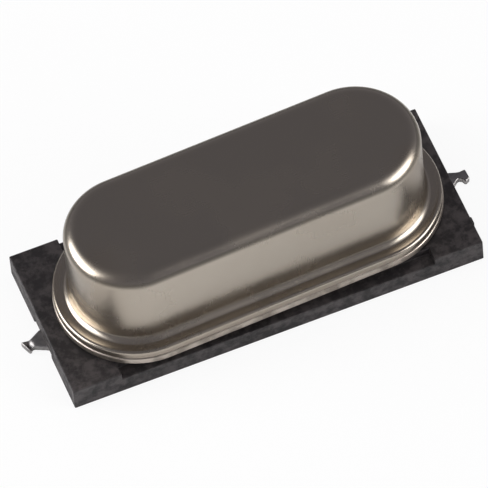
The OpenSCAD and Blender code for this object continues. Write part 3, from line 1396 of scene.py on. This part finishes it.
class Side(Enum):
    """The end of the part that something stands at."""

    LEFT = -1
    RIGHT = 1

    @property
    def word(self) -> str:
        """The side's name in lower case."""
        return self.name.lower()


@dataclass(frozen=True)
class Station:
    """One cross-section of a lead, in the plane that holds the lead's run and the upright.

    Its squareness is the power of its superellipse: ROUND for wire, COINED for the blade.
    """

    out: float
    height: float
    pitch: float
    half_width: float
    half_thick: float
    squareness: float
    aside: float = 0.0


ROUND = 2.0
COINED = 7.0
DOWNWARD = -90.0


@dataclass(frozen=True)
class BladeRow:
    """The reach of a blade's outline to the back and the front, at a distance from its end."""

    inward: float
    back: float
    front: float

    def toward(self, other: "BladeRow", share: float) -> "BladeRow":
        """Gives the row at a share of the way to another one."""
        pairs = zip(astuple(self), astuple(other))
        return BladeRow(*(between(mine, theirs, share) for mine, theirs in pairs))


def blade_outline(*rows: tuple[float, float, float]) -> tuple[BladeRow, ...]:
    """Makes the rows of a blade's outline from lengths in millimetres."""
    return tuple(BladeRow(*(length * MM for length in row)) for row in rows)


LEFT_BLADE = blade_outline(
    (0.0, 0.16, 0.17), (0.15, 0.155, 0.175), (0.19, 0.15, 0.14), (0.25, 0.15, 0.105),
    (0.3, 0.175, 0.105), (0.58, 0.345, 0.25), (0.74, 0.35, 0.35),
)
RIGHT_BLADE = blade_outline(
    (0.0, 0.185, 0.125), (0.13, 0.18, 0.185), (0.165, 0.178, 0.16), (0.2, 0.18, 0.07),
    (0.27, 0.2, 0.02), (0.34, 0.23, 0.04), (0.5, 0.3, 0.17), (0.6, 0.34, 0.26), (0.74, 0.35, 0.35),
)


@dataclass
class Lead:
    """A wire that leaves the glass, bends outward and is coined to a flat blade."""

    side: Side
    swing: float
    outline: Racetrack
    blade_rows: tuple[BladeRow, ...]
    wire: float = 0.215 * MM
    bend: float = 0.4 * MM
    post_top: float = 1.61 * MM
    blade_half: float = 0.35 * MM
    blade_thick: float = 0.1 * MM
    tip_at: float = 6.48 * MM
    end_round: float = 0.035 * MM
    end_skew: float = 0.0
    skew_reach: float = 0.22 * MM
    dish_depth: float = 0.0
    dish_at: Point = (0.18 * MM, -0.02 * MM)
    dish_radii: Point = (0.085 * MM, 0.13 * MM)
    dish_zone: float = 0.5 * MM
    post_hold: float = 0.05 * MM
    coin_span: Point = (0.12 * MM, 0.6 * MM)
    blade_start: float = 0.75 * MM
    bend_steps: int = 12
    coin_steps: int = 10
    end_steps: int = 5
    step: float = 0.025 * MM
    points: int = 56
    fine: int = 720
    crease: float = 50.0

    @property
    def post(self) -> float:
        """The distance of the post from the plate's middle."""
        return LEAD_PITCH / 2 + self.side.value * self.outline.along

    def _stations(self) -> list[Station]:
        """Gives the lead's cross-sections from the post's top to the blade's end."""
        w, r = self.wire, self.bend
        turn_z = w + r
        found = [
            Station(0.0, height, DOWNWARD, w, w, ROUND)
            for height in (self.post_top, turn_z + self.post_hold)
        ]
        for i in range(self.bend_steps + 1):
            pitch = between(DOWNWARD, 0.0, i / self.bend_steps)
            a = math.radians(pitch - DOWNWARD)
            out, height = r - r * math.cos(a), turn_z - r * math.sin(a)
            found.append(Station(out, height, pitch, w, w, ROUND))
        for i in range(self.coin_steps + 1):
            share = i / self.coin_steps
            eased = share * share * (3 - 2 * share)
            thick = between(w, self.blade_thick, eased)
            wide = between(w, self.blade_half, eased)
            out = r + between(*self.coin_span, share)
            found.append(Station(out, thick, 0.0, wide, thick, between(ROUND, COINED, eased)))
        return found + self._blade()

    def _blade(self) -> list[Station]:
        """Gives the cross-sections of the flat blade, its waist and its cut tip."""
        reach = self.tip_at - self.post
        start = reach - self.bend - self.blade_start
        rows = [BladeRow(start, self.blade_half, self.blade_half)]
        rows += sorted(self.blade_rows, key=lambda row: -row.inward)
        found = rows[:1]
        for row, following in zip(rows[1:], rows[2:]):
            count = max(1, math.ceil((row.inward - following.inward) / self.step))
            found += [row.toward(following, i / count) for i in range(count)]
        stations = [self._station(row, reach, 0.0) for row in found]
        for i in range(self.end_steps + 1):
            a = math.pi / 2 * i / self.end_steps
            cut = self.end_round * (1 - math.cos(a))
            inward = self.end_round * (1 - math.sin(a))
            stations.append(self._station(replace(rows[-1], inward=inward), reach, cut))
        return stations

    def _station(self, row: BladeRow, reach: float, cut: float) -> Station:
        """Turns a row of the blade's outline into a cross-section.

        Args:
            row: the outline there.
            reach: the distance from the post to the blade's end.
            cut: what the rounding of the end takes off all round.

        Returns:
            The cross-section.
        """
        half = (row.back + row.front) / 2 - cut
        aside = self.side.value * (row.back - row.front) / 2
        thick = self.blade_thick
        return Station(reach - row.inward, thick, 0.0, half, thick - cut, COINED, aside)

    def _ring(self, station: Station) -> list[Vector]:
        """Gives points at even distances along one cross-section, in the lead's own frame."""
        a = math.radians(station.pitch)
        up = Vector((-math.sin(a), 0.0, math.cos(a)))
        across = Vector((0.0, 1.0, 0.0))
        centre = Vector((station.out, station.aside, station.height))
        power = 2.0 / station.squareness
        fine = []
        for i in range(self.fine + 1):
            t = 2 * math.pi * i / self.fine
            c, s = math.cos(t), math.sin(t)
            u = math.copysign(abs(c) ** power, c) * station.half_width
            v = math.copysign(abs(s) ** power, s) * station.half_thick
            fine.append(centre + across * u + up * v)
        run = [0.0]
        for p, q in zip(fine, fine[1:]):
            run.append(run[-1] + (q - p).length)
        ring, k = [], 0
        for i in range(self.points):
            mark = run[-1] * (i + 0.5) / self.points
            while run[k + 1] < mark:
                k += 1
            ring.append(fine[k].lerp(fine[k + 1], (mark - run[k]) / (run[k + 1] - run[k])))
        return ring

    def _cut(self, point: Vector) -> Vector:
        """Skews the end and sinks the hollow that the cutting tool left in the tip."""
        inward = self.tip_at - self.post - point.x
        if inward > self.dish_zone:
            return point
        back = point.y * self.side.value
        tip = self.blade_rows[0]
        share = max(0.0, 1 - inward / self.skew_reach)
        skew = self.end_skew * share * (tip.back - back) / (tip.back + tip.front)
        u = (inward - self.dish_at[0]) / self.dish_radii[0]
        v = (back - self.dish_at[1]) / self.dish_radii[1]
        upper = max(0.0, (point.z - self.blade_thick) / self.blade_thick)
        sink = self.dish_depth * math.exp(-u * u - v * v) * upper
        return Vector((point.x - skew, point.y, point.z - sink))

    def build(self, material: bpy.types.Material) -> bpy.types.Object:
        """Builds and places the lead.

        Args:
            material: the finish that both leads share.

        Returns:
            The lead.
        """
        rings = [[self._cut(p) for p in self._ring(s)] for s in self._stations()]
        n = self.points
        first = tuple(range(n))
        last = tuple(i + (len(rings) - 1) * n for i in first)
        faces = bands(len(rings), n) + [first[::-1], last]
        name = f"lead_wire_{self.side.word}"
        mesh = mesh_of(name, [p for ring in rings for p in ring], faces)
        offset, turn = self.side.value * LEAD_PITCH / 2, math.radians(self.outline.turn)
        post = Vector((
            offset * math.cos(turn) + self.outline.along,
            offset * math.sin(turn) + self.outline.across,
            0.0,
        ))
        facing = math.radians(self.swing) + (0.0 if self.side is Side.RIGHT else math.pi)
        mesh.transform(Matrix.Translation(post) @ Matrix.Rotation(facing, 4, "Z"))
        piece = linked(name, mesh)
        smoothed(piece, self.crease)
        finish_piece(piece, f"lead_{self.side.word}", material)
        return piece


# ------------------------------------------------------------------------- inner pieces


@dataclass
class Resonator:
    """What the can holds: the seals, springs, quartz strip, films and bonding dots."""

    spring: PlainMetal = PlainMetal(
        "spring_strip", bright=rgb(0.6, 0.57, 0.5), shade=rgb(0.5, 0.47, 0.41), dull=0.28
    )
    film: PlainMetal = PlainMetal(
        "silvered_film", bright=rgb(0.86, 0.85, 0.82), shade=rgb(0.78, 0.76, 0.72), dull=0.12,
        grain_size=15 * UM, grain_height=0.1 * UM,
    )
    paste: PlainMetal = PlainMetal(
        "silver_paste", bright=rgb(0.5, 0.5, 0.5), shade=rgb(0.34, 0.34, 0.35), dull=0.55,
        grain_size=20 * UM, grain_height=4 * UM,
    )

    def dress(self) -> None:
        """Gives each inner CAD node its finish."""
        finishes = {
            ("glass_seal_left", "glass_seal_right"): SealGlass().material(),
            ("spring_clip_left", "spring_clip_right"): self.spring.material(),
            ("quartz_blank",): LappedQuartz().material(),
            ("electrode_front", "electrode_back"): self.film.material(),
            ("bonding_dot_left", "bonding_dot_right"): self.paste.material(),
        }
        for names, material in finishes.items():
            for name in names:
                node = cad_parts[name]
                for place in node.material_slots:
                    place.material = material
                if not node.material_slots:
                    node.data.materials.append(material)
                LOG.info("%s: kept from the frame with %s", name, material.name)


# ---------------------------------------------------------------------------- the studio


@dataclass(frozen=True)
class SoftBox:
    """A lamp with a diffusing front, placed by where it stands as seen from the part.

    Its front is brightest round a hot spot and falls off from it as a bell curve does.
    """

    name: str
    azimuth: float
    elevation: float
    distance: float
    width: float
    height: float
    radiance: float
    hot_spot: Point = (0.5, 0.5)
    spread: Optional[Point] = None
    in_gloss: bool = True

    def light(self) -> bpy.types.Object:
        """Builds the lamp so that it faces the part."""
        data = bpy.data.lights.new(self.name, "AREA")
        data.shape = "RECTANGLE"
        data.size, data.size_y = self.width, self.height
        data.energy = self.radiance * math.pi * self.width * self.height
        if self.spread is not None:
            self._shade(data, self.spread)
        lamp = bpy.data.objects.new(self.name, data)
        bpy.context.scene.collection.objects.link(lamp)
        away = outward(self.azimuth, self.elevation)
        turned = away.to_track_quat("Z", "Y").to_matrix().to_4x4()
        lamp.matrix_world = Matrix.Translation(away * self.distance) @ turned
        lamp.visible_camera = False
        lamp.visible_glossy = self.in_gloss
        return lamp

    def _shade(self, data: bpy.types.Light, spread: Point) -> None:
        """Lets the front's light fall off from the hot spot.

        Args:
            data: the lamp.
            spread: the bell curve's width and height, as shares of the front.
        """
        data.use_nodes = True
        g = Graph(data.node_tree)
        across, up, _ = g.split(g.node("ShaderNodeNewGeometry", None, None, "Parametric"))
        u = (across - self.hot_spot[0]) / spread[0]
        v = (up - self.hot_spot[1]) / spread[1]
        bell = ((u * u + v * v) * -0.5).exp()
        glow = g.node("ShaderNodeEmission", None, {"Color": rgb(1, 1, 1), "Strength": bell})
        g.node("ShaderNodeOutputLight", None, {"Surface": glow})


@dataclass
class Studio:
    """The floor, lamps, surroundings and camera."""

    azimuth: float = -16.9307
    elevation: float = 56.0061
    roll: float = 5.9308
    distance: float = 260.3827 * MM
    aim: Triple = (-0.1493 * MM, -0.3962 * MM, 1.6651 * MM)
    lens: float = 723.136
    sensor: float = 36.0
    clip: Point = (10 * MM, 2000 * MM)
    surround: Colour = rgb(0.125, 0.122, 0.135)
    horizon: float = 1.1
    horizon_fall: float = 0.3
    floor_drop: float = 0.01 * MM
    floor_rings: Triple = (20 * MM, 100 * MM, 340 * MM)
    floor_spokes: int = 96
    floor_crease: float = 60.0
    cove_radius: float = 44 * MM
    cove_turn: float = 60.0
    cove_steps: int = 12
    lamps: tuple[SoftBox, ...] = (
        SoftBox(
            "soft_box_left", azimuth=-104, elevation=35, distance=150 * MM, width=150 * MM,
            height=185 * MM, radiance=8.0, hot_spot=(0.5, 0.27), spread=(0.42, 0.19),
        ),
        SoftBox(
            "soft_box_right", azimuth=54, elevation=31, distance=150 * MM, width=120 * MM,
            height=160 * MM, radiance=6.5, hot_spot=(0.5, 0.31), spread=(0.4, 0.2),
        ),
        SoftBox(
            "top_fill", azimuth=0, elevation=90, distance=300 * MM, width=420 * MM,
            height=420 * MM, radiance=1.1, in_gloss=False,
        ),
    )

    def build(self) -> None:
        """Builds the whole studio."""
        self._floor()
        self._world()
        for lamp in self.lamps:
            lamp.light()
        self._camera()
        bpy.context.scene.view_settings.view_transform = "Standard"

    def _floor(self) -> None:
        """Lays the pale floor, whose rim sweeps up into a low cove."""
        n = self.floor_spokes
        foot = (self.floor_rings[-1], self.cove_radius)
        cove = arc(foot, self.cove_radius, -90, self.cove_turn - 90, self.cove_steps)
        section = [(d, 0.0) for d in self.floor_rings] + cove[1:]
        points: list[Sequence[float]] = []
        for d, z in section:
            for k in range(n):
                a = 2 * math.pi * k / n
                points.append((d * math.cos(a), d * math.sin(a), z - self.floor_drop))
        faces = [tuple(range(n))] + [face[::-1] for face in bands(len(section), n)]
        floor = linked("floor", mesh_of("floor", points, faces))
        floor.data.materials.append(FloorPaper().material())
        smoothed(floor, self.floor_crease)

    def _world(self) -> None:
        """Sets the dim surroundings, which brighten toward the horizon."""
        world = bpy.data.worlds.new("studio_surround")
        bpy.context.scene.world = world
        world.use_nodes = True
        g = Graph(world.node_tree)
        height = abs(g.split(g.node("ShaderNodeTexCoord"))[2])
        strength = 1.0 + (height / -self.horizon_fall).exp() * self.horizon
        light = g.node("ShaderNodeBackground", None, {"Color": self.surround, "Strength": strength})
        g.node("ShaderNodeOutputWorld", None, {"Surface": light})

    def _camera(self) -> None:
        """Places the long-lens camera."""
        a, r = math.radians(self.azimuth), math.radians(self.roll)
        back = outward(self.azimuth, self.elevation)
        level = Vector((math.cos(a), math.sin(a), 0.0))
        upright = back.cross(level)
        right = level * math.cos(r) - upright * math.sin(r)
        up = level * math.sin(r) + upright * math.cos(r)
        data = bpy.data.cameras.new("camera")
        data.lens = self.lens
        data.sensor_width = self.sensor
        data.clip_start, data.clip_end = self.clip
        camera = bpy.data.objects.new("camera", data)
        bpy.context.scene.collection.objects.link(camera)
        turned = Matrix((right, up, back)).transposed().to_4x4()
        camera.matrix_world = Matrix.Translation(Vector(self.aim) + back * self.distance) @ turned
        bpy.context.scene.camera = camera


# ----------------------------------------------------------------------------------- run


def main() -> None:
    """Builds every piece of the crystal and the studio round it."""
    logging.basicConfig(level=logging.INFO, format="%(name)s: %(message)s")
    outline = Racetrack()
    InsulatorPlate().build()
    Header(outline).build()
    Cover(outline).build()
    tinned = TinnedWire().material()
    left = Lead(Side.LEFT, -0.6, outline, LEFT_BLADE, end_skew=0.13 * MM, dish_depth=0.1 * MM)
    left.build(tinned)
    Lead(Side.RIGHT, 2.3, outline, RIGHT_BLADE).build(tinned)
    Resonator().dress()
    Studio().build()


if __name__ == "__main__":
    main()
